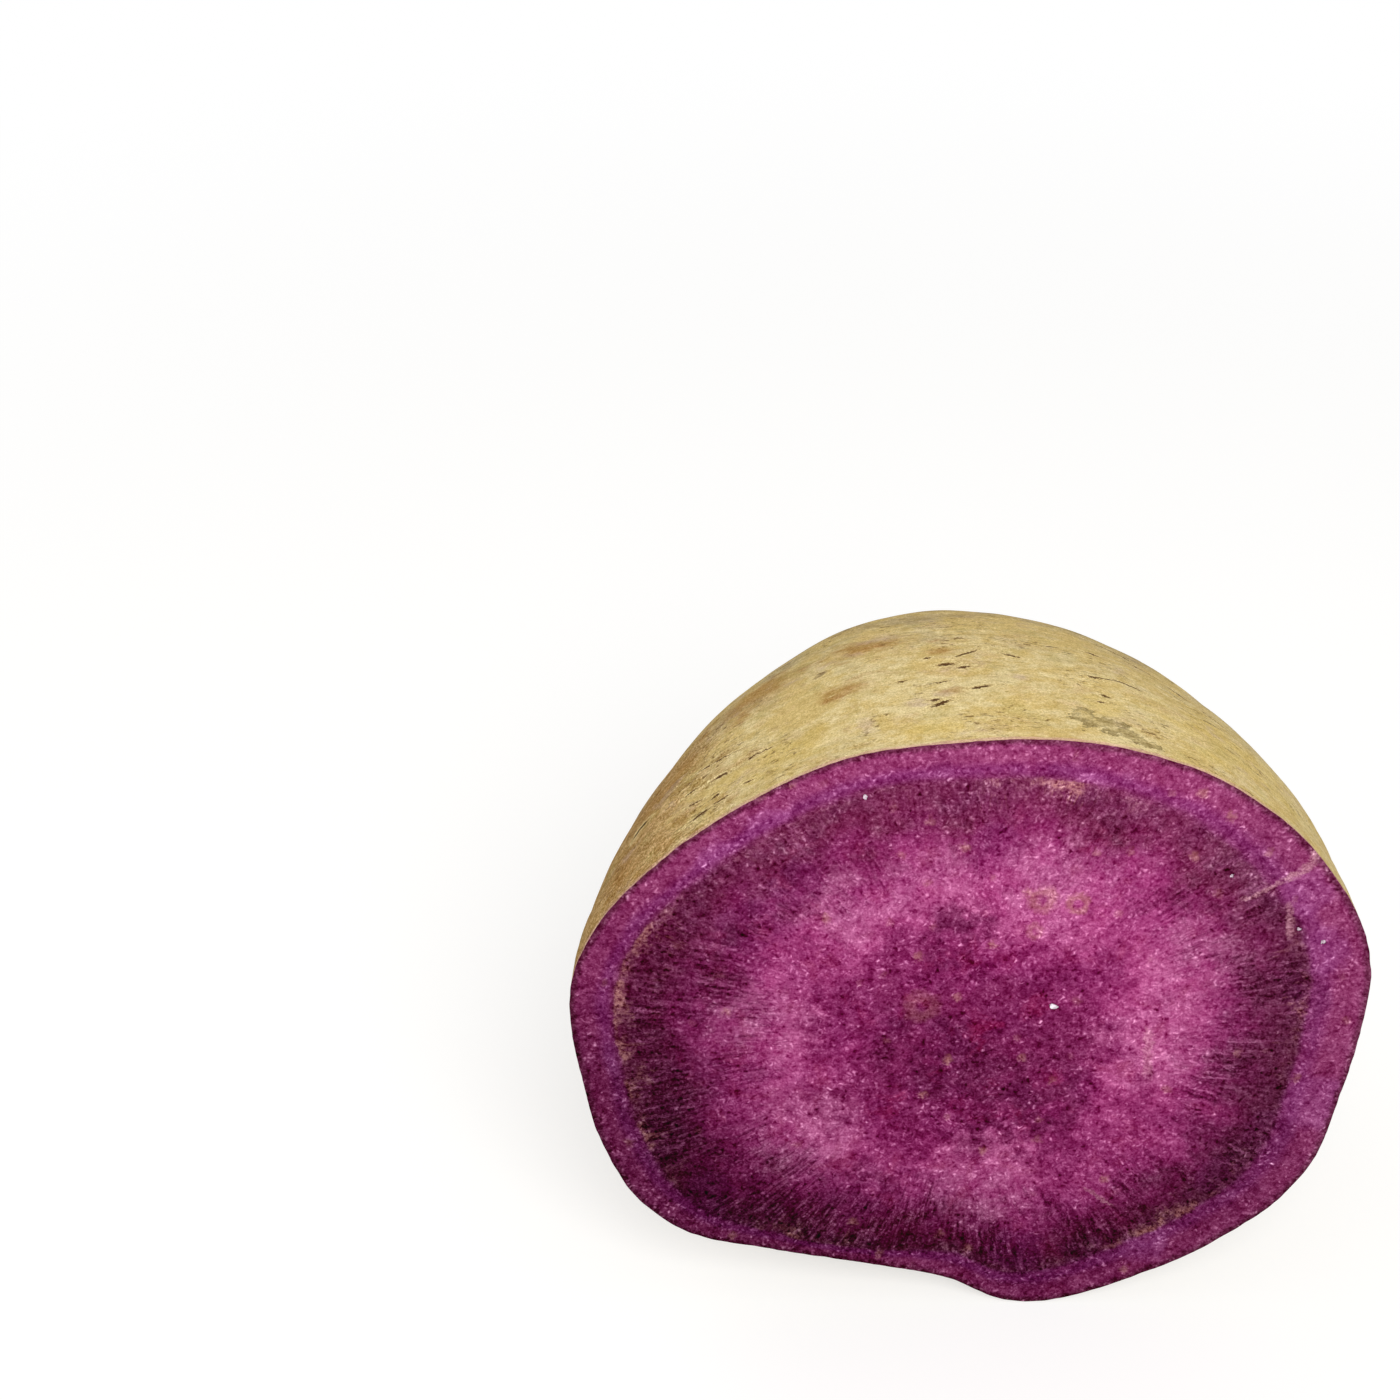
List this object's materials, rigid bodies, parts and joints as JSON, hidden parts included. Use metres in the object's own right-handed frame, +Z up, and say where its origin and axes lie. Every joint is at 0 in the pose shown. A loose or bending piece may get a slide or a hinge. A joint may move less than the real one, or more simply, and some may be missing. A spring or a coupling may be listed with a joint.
{
  "type": "purple sweet potato half",
  "caption": "Half of a purple-fleshed sweet potato, cut across, lying on its side, with a flat cut, tan skin and a pointed root end.",
  "frame": {"origin": "on the resting surface, under the middle of the object's box", "axes": "+Z is up; the cut looks along -Y and leans back 8 degrees; the root end points along +Y; +X is to the right of someone facing the cut"},
  "size_m": [0.0852, 0.0812, 0.0707],
  "materials": {
    "skin": "dry, matte, fibrous root skin"
  },
  "bodies": {
    "root": {"sweet_potato_half": "skin"}
  },
  "joints": []
}
